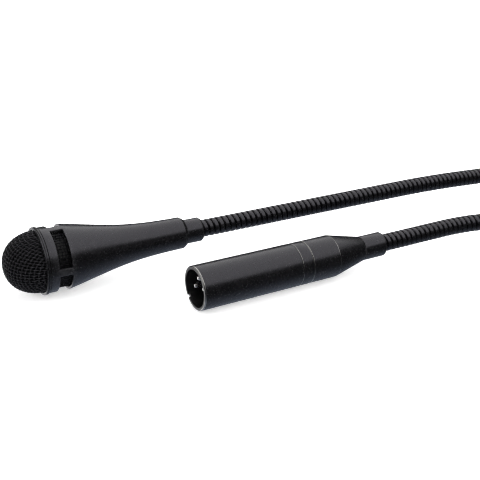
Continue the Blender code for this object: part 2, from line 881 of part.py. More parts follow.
def head_conductors(parent, location):
    """Two wires from the terminal board to the cable."""
    for number, (z, gathered_z) in enumerate(zip(HEAD_CONDUCTOR_Z, HEAD_GATHERED_Z), 1):
        start = (BOARD_BACK + GAP, 0.0, z)
        end = (CABLE_END_IN_HEAD - GAP, 0.0, gathered_z)
        conductor(f"head_conductor_{number}", start, end, parent, location)


def make_head(pivot):
    """Everything fixed to the neck's last link, on the head's own axis."""
    place = (-(HEAD_LENGTH + NECK_STUB), 0.0, 0.0)
    layers = dict(parent=pivot, location=place)
    grille = (0.0, DOME_WALL, DOME_END, 7, mesh_black())
    foam = (FOAM_INSET, FOAM_WALL, FOAM_END, 5, foam_black())
    dome_shell("grille_dome", *grille, sides=FINE_SIDES, **layers)
    dome_shell("foam_liner", *foam, sides=PLAIN_SIDES, **layers)
    ring = ring_outline(RING_START, RING_END, DOME_R + GAP, RING_R)
    turned("front_ring", ring, satin_black(), **layers)
    head_body(**layers)
    turned("cage_mesh", ring_outline(*MESH_ENDS, *MESH_RADII), mesh_black(), **layers)
    capsule(**layers)
    capsule_cover(**layers)
    slide = empty("diaphragm_slide", (place[0] + DIAPHRAGM_AT, 0, 0), pivot)
    diaphragm(slide, (-DIAPHRAGM_AT, 0, 0))
    grommet = ring_outline(*GROMMET_ENDS, CABLE_BORE_R, GROMMET_R)
    turned("cable_grommet", grommet, grey_rubber(), sides=PLAIN_SIDES, **layers)
    outline = ferrule_outline(BODY_END + GAP, HEAD_LENGTH, HEAD_SPIGOT_START)
    turned("head_ferrule", outline, satin_black(), **layers)
    flange = HEAD_LENGTH - NECK_INSERTION - GAP - BUSH_FLANGE
    neck_bush("neck_bush_head", flange, HEAD_LENGTH - BUSH_END, **layers)
    head_conductors(**layers)


def main():
    """Clear the scene and build the microphone."""
    clear_scene()
    make_plug()
    make_head(make_neck())
    make_cable()


main()
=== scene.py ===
"""Looks of a gooseneck podium microphone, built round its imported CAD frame.

Lengths are in millimetres until they reach a mesh, which is in metres.
The head's own axis runs from the tip of the grille towards the neck.
"""
import json
import math

import bmesh
import bpy
import numpy as np
from mathutils import Matrix, Vector


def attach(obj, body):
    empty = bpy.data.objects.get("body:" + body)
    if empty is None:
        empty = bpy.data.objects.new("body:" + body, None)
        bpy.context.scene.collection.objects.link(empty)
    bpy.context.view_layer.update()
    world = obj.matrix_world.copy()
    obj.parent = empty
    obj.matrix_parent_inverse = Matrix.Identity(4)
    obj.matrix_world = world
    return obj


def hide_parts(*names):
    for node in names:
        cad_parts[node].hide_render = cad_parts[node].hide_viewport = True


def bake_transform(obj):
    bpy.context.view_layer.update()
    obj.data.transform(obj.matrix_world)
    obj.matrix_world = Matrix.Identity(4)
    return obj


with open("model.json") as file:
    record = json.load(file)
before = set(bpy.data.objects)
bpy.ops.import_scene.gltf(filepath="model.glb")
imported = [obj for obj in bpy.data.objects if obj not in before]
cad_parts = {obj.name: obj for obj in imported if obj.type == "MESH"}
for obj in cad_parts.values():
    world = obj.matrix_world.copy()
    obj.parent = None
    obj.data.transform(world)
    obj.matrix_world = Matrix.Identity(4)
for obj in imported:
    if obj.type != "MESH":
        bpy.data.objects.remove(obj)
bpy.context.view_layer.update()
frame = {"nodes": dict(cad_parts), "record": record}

MM = 0.001

# ---------------------------------------------------------------- sizes, as in the CAD source

GAP = 0.3
PIN_RECESS = 14.5
BARREL_R = 9.5
BARREL_REAR_R = 9.34
BARREL_BORE_R = 8.05
BARREL_END = 32.4
BARE_RIM_REACH = 0.55
BARE_RIM_LIMITS = (2.5, -8.2)
NOTCH_ANGLE = -44.0
NOTCH_HALF_WIDTH = 0.7
NOTCH_DEPTH = 0.8
COLLAR_END = 37.9
COLLAR_BORE_R = 7.9
BARE_LINE = 0.2
CONE_START = 51.5
CONE_END = 67.3
CONE_START_R = 9.28
CONE_END_R = 5.5
CONE_BORE_R = 5.1
CONE_BORE_TAPER = (50.0, 58.5)
FERRULE_R = 5.4
FERRULE_BORE_R = 4.25
FERRULE_CHAMFER = (0.75, 0.62)
SPIGOT_R = 4.75
PLUG_SPIGOT_START = 65.5
HEAD_SPIGOT = 1.5
PLUG_REAR = 79.3
INSERT_R = 7.7
INSERT_END = 10.0
INSERT_FACE_R = 6.9
INSERT_RIM = 0.35
BOSS_R = (1.26, 1.95)
BOSS_ENDS = (-0.6, 0.2)
PIN_R = 1.2
PIN_TIP_R = 0.72
PIN_TAPER = 0.85
PIN_END = 16.0
SOLDER_CUP_R = 0.74
SOLDER_CUP_DEPTH = 3.0
PIN_CIRCLE_R = 4.0
PIN_ANGLES = (78.0, -12.0, 168.0)
PIN_TIP = -12.7

HEAD_TIP = (-80.0, 46.4)
HEAD_TURN = -1.5
HEAD_LENGTH = 90.5
DOME_R = 13.5
DOME_DEPTH = 16.0
DOME_POWER = 2.2
RING_START = 14.6
RING_END = 16.2
RING_R = 14.6
RING_GROOVE = (15.04, 15.53)
RING_GROOVE_DEPTH = 0.65
RING_GROOVE_SLOPE = 0.03
RING_STEP = 0.08
# Sizes of the dark ring behind the head's joint, put there as painted shadow.
SHADOW_RING_STATIONS = (15.95, 16.2, 17.2)
SHADOW_RING_R = (12.2, 13.4)
FOAM_INSET = 1.75
FOAM_THICKNESS = 1.0
FOAM_UNEVEN = 0.072
FOAM_END = 15.2
BAND_R = 14.1
SLOT_START = 20.2
SLOT_END = 25.7
SLOT_COUNT = 4
SLOT_ANGLE = 77.0
SLOT_TURN = 4.5
FLARE_R = 14.15
BODY_REAR_R = 7.05
BODY_WALL = 1.3
BODY_CHAMFER_START = 80.6
BODY_END = 82.0
BODY_END_R = 6.2
BODY_BORE_R = 5.1
BODY_LIP = 1.6
FLARE_FRONT_HANDLE = (22.0, -4.17)
FLARE_REAR_HANDLE = (28.0, 0.31)

NECK_R = 3.9
CABLE_R = 1.3
CABLE_START = 26.0
CABLE_END_IN_HEAD = 41.0
PLUG_BEND_START = 114.0
PLUG_BEND_R = 105.0
HEAD_BEND_START = 168.0
HEAD_BEND_R = 62.0
LOOP_R = 48.0
SINK_RANGE_PLUG = (40.0, 200.0)
SINK_RANGE_HEAD = (215.0, 405.0)
NECK_STUB = 25.0
NECK_FIXED_END = 10.0
YAW_HINGES = 15
PITCH_AFTER_YAW = (2, 6, 10, 13)

# ---------------------------------------------------------------- the neck's route

HEAD_AXIS = Vector((math.cos(math.radians(HEAD_TURN)), math.sin(math.radians(HEAD_TURN))))
HEAD_SIDE = Vector((-HEAD_AXIS.y, HEAD_AXIS.x))
HEAD_REAR = Vector(HEAD_TIP) + HEAD_AXIS * HEAD_LENGTH
HEAD_Z = RING_R - BARREL_R
LOOP_Z = NECK_R - BARREL_R
TABLE_Z = -BARREL_R


def angle_of(vector):
    """The heading of a flat vector."""
    return math.atan2(vector.y, vector.x)


def loop_arcs():
    """The three arcs of the loop: (centre, radius, first angle, signed turn)."""
    first = Vector((PLUG_BEND_START, -PLUG_BEND_R))
    run = (HEAD_BEND_START - HEAD_REAR.x) / HEAD_AXIS.x
    last_end = HEAD_REAR + HEAD_AXIS * run
    last = last_end + HEAD_SIDE * HEAD_BEND_R
    across = last - first
    reach = across.length
    one, two = LOOP_R + PLUG_BEND_R, LOOP_R + HEAD_BEND_R
    along = (one * one - two * two + reach * reach) / (2 * reach)
    out = math.sqrt(one * one - along * along)
    unit = across / reach
    middle = first + unit * along + Vector((unit.y, -unit.x)) * out
    plug_turn = math.pi / 2 - angle_of(middle - first)
    loop_turn = (angle_of(last - middle) - angle_of(first - middle)) % (2 * math.pi)
    head_turn = (angle_of(middle - last) - angle_of(last_end - last)) % (2 * math.pi)
    return run, [
        (first, PLUG_BEND_R, math.pi / 2, -plug_turn),
        (middle, LOOP_R, angle_of(first - middle), loop_turn),
        (last, HEAD_BEND_R, angle_of(middle - last), -head_turn),
    ]


HEAD_RUN, ARCS = loop_arcs()
PLUG_RUN = PLUG_BEND_START - PLUG_REAR
ARC_LENGTHS = [radius * abs(turn) for _, radius, _, turn in ARCS]
NECK_LENGTH = PLUG_RUN + sum(ARC_LENGTHS) + HEAD_RUN


def ease(u):
    """A smooth step from 0 to 1."""
    u = min(max(u, 0.0), 1.0)
    return u * u * (3 - 2 * u)


def neck_height(s):
    """Height of the neck's centre: level at both ends, down on the table in the loop."""
    low, high = SINK_RANGE_PLUG
    if s < high:
        return LOOP_Z * ease((s - low) / (high - low))
    low, high = SINK_RANGE_HEAD
    return LOOP_Z + (HEAD_Z - LOOP_Z) * ease((s - low) / (high - low))


def neck_point(s):
    """Centre of the neck at a length s from the plug's rear."""
    height = neck_height(s)
    if s <= PLUG_RUN:
        return Vector((PLUG_REAR + s, 0.0, height))
    done = PLUG_RUN
    for (centre, radius, start, turn), length in zip(ARCS, ARC_LENGTHS):
        if s <= done + length:
            angle = start + turn * (s - done) / length
            spot = centre + radius * Vector((math.cos(angle), math.sin(angle)))
            return Vector((spot.x, spot.y, height))
        done += length
    spot = HEAD_REAR + HEAD_AXIS * (NECK_LENGTH - s)
    return Vector((spot.x, spot.y, height))


def neck_axes(s):
    """Centre, side and up of the neck at length s."""
    step = 0.01
    tangent = (neck_point(s + step) - neck_point(s - step)).normalized()
    side = Vector((0, 0, 1)).cross(tangent).normalized()
    return neck_point(s), side, tangent.cross(side)


def hinge_stations():
    """Lengths along the neck of all hinges, in order."""
    pitch = (NECK_LENGTH - 2 * NECK_STUB) / (YAW_HINGES - 1)
    found = [NECK_STUB + k * pitch for k in range(YAW_HINGES)]
    found += [NECK_STUB + (k - 0.5) * pitch for k in PITCH_AFTER_YAW]
    return sorted(found)


# ---------------------------------------------------------------- materials

class Nodes:
    """A material's node tree, with short calls for what this script uses."""

    def __init__(self, name):
        self.material = bpy.data.materials.new(name)
        self.material.use_nodes = True
        self.tree = self.material.node_tree
        self.shader = self.tree.nodes["Principled BSDF"]
        coordinates = self.tree.nodes.new("ShaderNodeTexCoord")
        self.place = coordinates.outputs["Object"]

    def link(self, out, socket):
        """Join an output to an input."""
        self.tree.links.new(out, socket)

    def set(self, **values):
        """Constants on the shader's own sockets, named with _ for a space."""
        for key, value in values.items():
            self.shader.inputs[key.replace("_", " ")].default_value = value

    def stretched(self, scale):
        """Coordinates scaled by a different amount along each axis."""
        node = self.tree.nodes.new("ShaderNodeMapping")
        node.inputs["Scale"].default_value = scale
        self.link(self.place, node.inputs["Vector"])
        return node.outputs["Vector"]

    def noise(self, scale, detail=3.0, roughness=0.55, place=None):
        """Noise of so many grains per metre."""
        node = self.tree.nodes.new("ShaderNodeTexNoise")
        node.inputs["Scale"].default_value = scale
        node.inputs["Detail"].default_value = detail
        node.inputs["Roughness"].default_value = roughness
        self.link(place or self.place, node.inputs["Vector"])
        return node.outputs["Fac"]

    def cells(self, scale):
        """Distance to the nearest point of a cell pattern."""
        node = self.tree.nodes.new("ShaderNodeTexVoronoi")
        node.inputs["Scale"].default_value = scale
        self.link(self.place, node.inputs["Vector"])
        return node.outputs["Distance"]

    def spread(self, value, low, high, first=0.3, last=0.7):
        """A value from first..last carried to low..high."""
        node = self.tree.nodes.new("ShaderNodeMapRange")
        node.inputs["From Min"].default_value = first
        node.inputs["From Max"].default_value = last
        node.inputs["To Min"].default_value = low
        node.inputs["To Max"].default_value = high
        self.link(value, node.inputs["Value"])
        return node.outputs["Result"]

    def times(self, first, second):
        """The product of two values."""
        node = self.tree.nodes.new("ShaderNodeMath")
        node.operation = "MULTIPLY"
        self.link(first, node.inputs[0])
        self.link(second, node.inputs[1])
        return node.outputs["Value"]

    def attribute(self, name):
        """A value stored on the mesh."""
        node = self.tree.nodes.new("ShaderNodeAttribute")
        node.attribute_name = name
        return node.outputs["Fac"]

    def blend_colours(self, share, first, second):
        """From the first colour at 0 to the second at 1."""
        node = self.tree.nodes.new("ShaderNodeMix")
        node.data_type = "RGBA"
        self.link(share, node.inputs["Factor"])
        for socket, colour in ((node.inputs["A"], first), (node.inputs["B"], second)):
            if isinstance(colour, tuple):
                socket.default_value = (*colour, 1.0)
            else:
                self.link(colour, socket)
        return node.outputs["Result"]

    def bump(self, value, depth):
        """Bump of a depth in metres."""
        node = self.tree.nodes.new("ShaderNodeBump")
        node.inputs["Strength"].default_value = 1.0
        node.inputs["Distance"].default_value = depth
        self.link(value, node.inputs["Height"])
        return node.outputs["Normal"]

    def finish(self, colour, roughness=None, normal=None):
        """The material, with what was worked out joined to its shader."""
        pairs = (("Base Color", colour), ("Roughness", roughness), ("Normal", normal))
        for socket, value in pairs:
            if value is not None:
                self.link(value, self.shader.inputs[socket])
        return self.material


COOL_SHINE = (0.93, 0.905, 1.0, 1.0)
TOOL_MARKS = (200.0, 4200.0, 4200.0)


def darker_to_lighter(n, scale, detail, colour, gain):
    """A colour that drifts up to gain times as light."""
    drift = n.spread(n.noise(scale, detail), 0.0, 1.0)
    return n.blend_colours(drift, colour, tuple(c * gain for c in colour))


def painted(name, colour, worn, roughness):
    """A satin coat on metal: fine orange peel, faint dust and brighter worn edges."""
    n = Nodes(name)
    n.set(IOR=1.5, Metallic=0.0, Specular_Tint=COOL_SHINE)
    fleck = n.noise(900.0, 5.0, 0.7)
    base = darker_to_lighter(n, 90.0, 4.0, colour, 1.35)
    edge = n.times(n.attribute("wear"), n.spread(fleck, 0.15, 1.0, 0.35, 0.6))
    base = n.blend_colours(edge, base, worn)
    rough = n.spread(n.noise(420.0, 5.0, 0.65), roughness - 0.05, roughness + 0.06)
    return n.finish(base, rough, n.bump(n.noise(2300.0, 2.0), 0.0000022))


def neck_paint():
    """Black oxide on the neck's coil, with faint rub marks; darker deep in each groove as painted shade.
    """
    n = Nodes("neck_black_oxide")
    n.set(IOR=1.5, Metallic=0.0, Specular_Tint=COOL_SHINE)
    drift = n.spread(n.noise(60.0, 4.0), 0.0, 1.0)
    scratch = n.noise(1500.0, 4.0, 0.7)
    base = n.blend_colours(drift, (0.002, 0.002, 0.0023), (0.0042, 0.0042, 0.0047))
    # Deeper in a groove the colour goes darker: painted shade.
    base = n.blend_colours(n.attribute("groove"), base, (0.0012, 0.0012, 0.0013))
    rough = n.spread(n.noise(520.0, 5.0, 0.65), 0.22, 0.32)
    return n.finish(base, rough, n.bump(scratch, 0.000004))


def wire_paint(name, colour, crown, roughness):
    """Thick paint on woven wire, a little uneven, and lightened in patches on its crowns as a painted
    highlight.
    """
    n = Nodes(name)
    n.set(IOR=1.33, Metallic=0.0, Specular_Tint=COOL_SHINE)
    base = darker_to_lighter(n, 700.0, 3.0, colour, 2.1)
    # The crowns are lightened towards the crown colour: a painted highlight.
    crown_highlight = n.times(n.attribute("crown"), n.spread(n.noise(1900.0, 3.0), 0.45, 1.0))
    base = n.blend_colours(crown_highlight, base, crown)
    rough = n.spread(n.noise(1100.0, 3.0), roughness - 0.06, roughness + 0.08)
    return n.finish(base, rough, n.bump(n.noise(4200.0, 2.0), 0.000008))


def foam():
    """Open-cell black foam, darker in the pit of each cell as painted shade."""
    n = Nodes("open_cell_foam")
    n.set(IOR=1.3, Metallic=0.0, Roughness=0.95)
    cell = n.cells(1900.0)
    # The cells' pits are darkened: painted shade.
    depth = n.spread(cell, 0.0, 1.0, 0.1, 0.6)
    base = n.blend_colours(depth, (0.0004, 0.0004, 0.0004), (0.0025, 0.0025, 0.0025))
    return n.finish(base, normal=n.bump(cell, 0.00025))


def moulded(name, colour, roughness):
    """Moulded plastic or rubber with a fine spark-eroded grain."""
    n = Nodes(name)
    n.set(IOR=1.46, Metallic=0.0)
    base = darker_to_lighter(n, 250.0, 4.0, colour, 1.5)
    rough = n.spread(n.noise(800.0, 3.0), roughness - 0.06, roughness + 0.08)
    return n.finish(base, rough, n.bump(n.noise(3600.0, 2.0), 0.00001))


def bare_metal(name, colour, dull, roughness):
    """Plated or turned metal with fine tool marks and faint tarnish."""
    n = Nodes(name)
    n.set(Metallic=1.0)
    base = n.blend_colours(n.spread(n.noise(300.0, 5.0, 0.65), 0.0, 1.0), colour, dull)
    marks = n.noise(1.0, 2.0, place=n.stretched(TOOL_MARKS))
    rough = n.spread(n.noise(700.0, 4.0), roughness - 0.05, roughness + 0.09)
    return n.finish(base, rough, n.bump(marks, 0.000003))


COAT = painted("satin_black_coat", (0.0028, 0.0028, 0.003), (0.05, 0.05, 0.052), 0.27)
BARE_EDGE = bare_metal("bare_rim", (0.50, 0.49, 0.47), (0.20, 0.195, 0.19), 0.30)
BORE = moulded("plug_bore", (0.0035, 0.0035, 0.0036), 0.4)
NECK = neck_paint()
# The third colour of a wire paint is its painted crown highlight.
WIRE = wire_paint("mesh_black_paint", (0.0012, 0.0012, 0.0013), (0.03, 0.0295, 0.032), 0.33)
INNER_WIRE = wire_paint("inner_mesh_paint", (0.0015, 0.0015, 0.0016), (0.004, 0.004, 0.0042), 0.5)
FOAM = foam()
PLATE = bare_metal("pin_plate", (0.92, 0.91, 0.89), (0.74, 0.72, 0.69), 0.24)
MOULDING = moulded("black_moulding", (0.005, 0.005, 0.0053), 0.46)
SLOT_LOOKS = {
    "satin_black_coat": COAT,
    "neck_black_coat": NECK,
    "mesh_black_coat": WIRE,
    "black_foam": FOAM,
    "black_moulding": MOULDING,
    "silver_plate": PLATE,
    "bare_steel": bare_metal("turned_steel", (0.55, 0.55, 0.56), (0.36, 0.35, 0.34), 0.32),
    "magnet_grey": bare_metal("magnet_block", (0.17, 0.17, 0.18), (0.11, 0.11, 0.11), 0.5),
    "coil_copper": bare_metal("coil_wire", (0.72, 0.35, 0.18), (0.52, 0.24, 0.12), 0.3),
    "diaphragm_film": moulded("diaphragm_film", (0.40, 0.41, 0.40), 0.25),
    "grey_rubber": moulded("shock_rubber", (0.035, 0.035, 0.036), 0.75),
    "brass_fitting": bare_metal("turned_brass", (0.70, 0.52, 0.24), (0.48, 0.34, 0.15), 0.3),
    "board_green": moulded("board_green", (0.02, 0.11, 0.05), 0.4),
    "cable_jacket": moulded("cable_jacket", (0.008, 0.008, 0.008), 0.6),
}

# ---------------------------------------------------------------- mesh helpers

HEAD_TURNED = Matrix.Rotation(math.radians(HEAD_TURN), 4, "Z")
HEAD_PLACE = Matrix.Translation((*HEAD_TIP, HEAD_Z)) @ HEAD_TURNED
HERE = Matrix.Identity(4)
SHARP_FROM = 40.0
SOFT_BELOW = math.radians(12)


def add_piece(name, points, faces, looks, attributes=None, indices=None, sharp=SHARP_FROM):
    """An object in metres from points in millimetres."""
    mesh = bpy.data.meshes.new(name)
    mesh.from_pydata([tuple(c * MM for c in p) for p in points], [], faces)
    for key, values in (attributes or {}).items():
        mesh.attributes.new(key, "FLOAT", "POINT").data.foreach_set("value", values)
    for look in looks:
        mesh.materials.append(look)
    if indices:
        mesh.polygons.foreach_set("material_index", indices)
    mesh.validate()
    bm = bmesh.new()
    bm.from_mesh(mesh)
    bmesh.ops.remove_doubles(bm, verts=bm.verts, dist=1e-7)
    bmesh.ops.recalc_face_normals(bm, faces=bm.faces)
    bm.to_mesh(mesh)
    bm.free()
    mesh.shade_smooth()
    mesh.set_sharp_from_angle(angle=math.radians(sharp))
    made = bpy.data.objects.new(name, mesh)
    bpy.context.scene.collection.objects.link(made)
    return made


def fillet(outline, radius=0.15, steps=3, closed=True):
    """An outline of (x, r) or (x, r, radius) with its corners rounded: (x, r, wear) points."""
    count = len(outline)
    rounded = []
    for k, corner in enumerate(outline):
        here = Vector(corner[:2])
        size = corner[2] if len(corner) > 2 else radius
        at_end = not closed and k in (0, count - 1)
        if at_end or size <= 0:
            rounded.append((*here, 0.0))
            continue
        back = Vector(outline[k - 1][:2]) - here
        ahead = Vector(outline[(k + 1) % count][:2]) - here
        turn = math.pi - back.angle(ahead)
        if turn < SOFT_BELOW:
            rounded.append((*here, 0.0))
            continue
        cutback = min(size * math.tan(turn / 2), 0.45 * back.length, 0.45 * ahead.length)
        first = here + back.normalized() * cutback
        last = here + ahead.normalized() * cutback
        for n in range(steps + 1):
            t = n / steps
            spot = first.lerp(here, t).lerp(here.lerp(last, t), t)
            rounded.append((*spot, math.sin(math.pi * t)))
    return rounded


def lathe(name, outline, look, place=HERE, sides=96, which=None, closed=True):
    """A piece turned round its X axis from (x, r, wear) points. which(x, r) picks its look."""
    points, faces, wear, indices = [], [], [], []
    rings = []
    for x, r, w in outline:
        if r < 1e-6:
            rings.append([len(points)] * sides)
            points.append(place @ Vector((x, 0, 0)))
            wear.append(w)
            continue
        rings.append(list(range(len(points), len(points) + sides)))
        for k in range(sides):
            a = 2 * math.pi * k / sides
            points.append(place @ Vector((x, r * math.cos(a), r * math.sin(a))))
            wear.append(w)
    pairs = list(zip(range(len(rings)), range(1, len(rings))))
    if closed:
        pairs.append((len(rings) - 1, 0))
    looks = look if isinstance(look, list) else [look]
    for i, j in pairs:
        middle = [(outline[i][c] + outline[j][c]) / 2 for c in (0, 1)]
        shown = which(*middle) if which else 0
        for k in range(sides):
            n = (k + 1) % sides
            corners = [rings[i][k], rings[i][n], rings[j][n], rings[j][k]]
            distinct = list(dict.fromkeys(corners))
            if len(distinct) >= 3:
                faces.append(distinct)
                indices.append(shown)
    return add_piece(name, points, faces, looks, {"wear": wear}, indices)


def cut_with(piece, low, high, turn):
    """Cut a box, turned round X, out of a piece."""
    bm = bmesh.new()
    size = [b - a for a, b in zip(low, high)]
    middle = [(a + b) / 2 for a, b in zip(low, high)]
    box = Matrix.Rotation(turn, 4, "X") @ Matrix.Translation(middle) @ Matrix.Diagonal((*size, 1.0))
    bmesh.ops.create_cube(bm, size=1.0, matrix=Matrix.Scale(MM, 4) @ box)
    mesh = bpy.data.meshes.new("cutter")
    bm.to_mesh(mesh)
    bm.free()
    cutter = bpy.data.objects.new("cutter", mesh)
    bpy.context.scene.collection.objects.link(cutter)
    step = piece.modifiers.new("cut", "BOOLEAN")
    step.operation = "DIFFERENCE"
    step.solver = "EXACT"
    step.object = cutter
    graph = bpy.context.evaluated_depsgraph_get()
    result = bpy.data.meshes.new_from_object(piece.evaluated_get(graph))
    piece.modifiers.clear()
    piece.data = result
    piece.data.set_sharp_from_angle(angle=math.radians(SHARP_FROM))
    bpy.data.objects.remove(cutter, do_unlink=True)


def around(station, angle, radius):
    """A point at an angle round a (centre, side, up) station."""
    centre, side, up = station
    return centre + (side * math.cos(angle) + up * math.sin(angle)) * radius


def band(faces, first, second, sides):
    """Add the quads between two rings of points that start at first and at second."""
    for k in range(sides):
        n = (k + 1) % sides
        faces.append((first + k, first + n, second + n, second + k))


def tube(points, faces, path, radius, sides, closed=False):
    """Add a tube along (centre, side, up) stations."""
    start = len(points)
    for station in path:
        for k in range(sides):
            points.append(around(station, 2 * math.pi * (k + 0.5) / sides, radius))
    count = len(path)
    for i in range(count if closed else count - 1):
        band(faces, start + i * sides, start + (i + 1) % count * sides, sides)
    if not closed:
        faces.append(tuple(start + k for k in range(sides)))
        faces.append(tuple(start + (count - 1) * sides + k for k in reversed(range(sides))))


# ---------------------------------------------------------------- woven mesh

GRILLE_PITCH = 1.5
GRILLE_WIRE_R = 0.28
GRILLE_INSET = 0.6
GRILLE_TUCK = 0.6
GRILLE_TURN = math.radians(8.0)
GRILLE_WIRE_SIDES = 6
WEAVE_STEPS = 4
SHORTEST_WIRE = 6


def dome_radius(x, inset):
    """Radius of the domed grille at x from its tip, or of a layer inset inside it."""
    depth, radius = DOME_DEPTH - inset, DOME_R - inset
    u = min(max((x - inset) / depth, 0.0), 1.0)
    return radius * (1 - (1 - u) ** DOME_POWER) ** (1 / DOME_POWER)


def dome_table(inset, end):
    """Flat radius, x and radius along a dome that was drawn from a flat disc."""
    rows = [(0.0, inset, 0.0)]
    area, steps = 0.0, 600
    for k in range(1, steps + 1):
        x = inset + (end - inset) * (k / steps) ** 2
        r = dome_radius(x, inset)
        _, last_x, last_r = rows[-1]
        area += math.pi * (r + last_r) * math.hypot(x - last_x, r - last_r)
        rows.append((math.sqrt(area / math.pi), x, r))
    return np.array(rows)


def on_dome(table, u, v):
    """Point and outward normal, in the head's frame, of a point of the flat disc."""

    def read(radius, column):
        return float(np.interp(radius, table[:, 0], table[:, column]))

    flat = math.hypot(u, v)
    x, r = read(flat, 1), read(flat, 2)
    near, far = max(flat - 0.2, 0.0), flat + 0.2
    dx, dr = read(far, 1) - read(near, 1), read(far, 2) - read(near, 2)
    length = math.hypot(dx, dr) or 1.0
    cos, sin = (u / flat, v / flat) if flat > 1e-9 else (1.0, 0.0)
    normal = Vector((-dr / length, dx / length * cos, dx / length * sin))
    if flat < 0.05:
        normal = Vector((-1.0, 0.0, 0.0))
    return Vector((x, r * cos, r * sin)), normal


def wire_path(spots, normals, over):
    """Stations of one woven wire from its middle line, its normals and how far it stands off."""
    centres = [spot + normal * rise for spot, normal, rise in zip(spots, normals, over)]
    stations = []
    for k, centre in enumerate(centres):
        tangent = centres[min(k + 1, len(centres) - 1)] - centres[max(k - 1, 0)]
        side = tangent.cross(normals[k]).normalized()
        stations.append((centre, side, side.cross(tangent).normalized()))
    return stations


def woven_dome():
    """The grille: two sets of wires that go over and under each other."""
    table = dome_table(GRILLE_INSET, RING_START + GRILLE_TUCK)
    limit = float(table[-1, 0])
    reach = int(limit / GRILLE_PITCH)
    points, faces, crown_highlights = [], [], []
    cos, sin = math.cos(GRILLE_TURN), math.sin(GRILLE_TURN)
    for direction in (0, 1):
        for line in range(-reach, reach + 1):
            across = line * GRILLE_PITCH
            half = math.sqrt(max(limit * limit - across * across, 0.0))
            count = int(2 * half / (GRILLE_PITCH / WEAVE_STEPS))
            if count < SHORTEST_WIRE:
                continue
            spots, normals, over = [], [], []
            for k in range(count + 1):
                along = -half + 2 * half * k / count
                u, v = (across, along) if direction == 0 else (along, across)
                spot, normal = on_dome(table, u * cos - v * sin, u * sin + v * cos)
                phase = math.cos(math.pi * (along / GRILLE_PITCH + line + direction))
                spots.append(HEAD_PLACE @ spot)
                normals.append(HEAD_PLACE.to_3x3() @ normal)
                over.append(phase * GRILLE_WIRE_R)
            tube(points, faces, wire_path(spots, normals, over), GRILLE_WIRE_R, GRILLE_WIRE_SIDES)
            # Share of painted highlight at each point: most on the outward side of the wires' crowns.
            for stands_off in over:
                rise = 0.5 + 0.5 * stands_off / GRILLE_WIRE_R
                for k in range(GRILLE_WIRE_SIDES):
                    outward = max(0.0, math.sin(2 * math.pi * (k + 0.5) / GRILLE_WIRE_SIDES))
                    crown_highlights.append(rise * rise * outward)
    return add_piece("grille_woven_wire", points, faces, [WIRE], {"crown": crown_highlights}, sharp=70.0)


CAGE_R = 12.0
CAGE_WIRES = 54
CAGE_WIRE_R = 0.24
CAGE_WIRE_SIDES = 5
CAGE_START = 17.4
CAGE_END = 26.6


def woven_cage():
    """The woven strip behind the slots."""
    points, faces = [], []
    pitch = 2 * math.pi * CAGE_R / CAGE_WIRES
    rows = int((CAGE_END - CAGE_START) / pitch)
    first = (CAGE_START + CAGE_END - (rows - 1) * pitch) / 2
    turn = HEAD_PLACE.to_3x3()

    def station(x, angle):
        normal = Vector((0, math.cos(angle), math.sin(angle)))
        return HEAD_PLACE @ (Vector((x, 0, 0)) + normal * CAGE_R), turn @ normal

    for wire in range(CAGE_WIRES):
        angle = 2 * math.pi * wire / CAGE_WIRES
        count = rows * WEAVE_STEPS
        spots, normals, over = [], [], []
        for k in range(count + 1):
            x = first - pitch / 2 + k * pitch / WEAVE_STEPS
            spot, normal = station(x, angle)
            spots.append(spot)
            normals.append(normal)
            over.append(math.cos(math.pi * ((x - first) / pitch + wire)) * CAGE_WIRE_R)
        tube(points, faces, wire_path(spots, normals, over), CAGE_WIRE_R, CAGE_WIRE_SIDES)
    for row in range(rows):
        x = first + row * pitch
        spots, normals, over = [], [], []
        for k in range(CAGE_WIRES * WEAVE_STEPS):
            spot, normal = station(x, 2 * math.pi * k / (CAGE_WIRES * WEAVE_STEPS))
            spots.append(spot)
            normals.append(normal)
            over.append(-math.cos(math.pi * (k / WEAVE_STEPS + row)) * CAGE_WIRE_R)
        path = wire_path(spots, normals, over)
        tube(points, faces, path, CAGE_WIRE_R, CAGE_WIRE_SIDES, closed=True)
    return add_piece("cage_woven_wire", points, faces, [INNER_WIRE], sharp=70.0)


# ---------------------------------------------------------------- head

def bezier(p0, p1, p2, p3, t):
    """A point of a cubic Bezier curve."""
    u = 1 - t
    return p0 * u**3 + p1 * (3 * t * u * u) + p2 * (3 * t * t * u) + p3 * t**3


def flare_points(steps):
    """The head body's flare, from the slots to the rear."""
    p0 = Vector((SLOT_END, FLARE_R))
    p3 = Vector((BODY_CHAMFER_START, BODY_REAR_R))
    p1 = p0 + Vector(FLARE_FRONT_HANDLE)
    p2 = p3 - Vector((FLARE_REAR_HANDLE[0], -FLARE_REAR_HANDLE[1]))
    return [tuple(bezier(p0, p1, p2, p3, k / steps)) for k in range(steps + 1)]


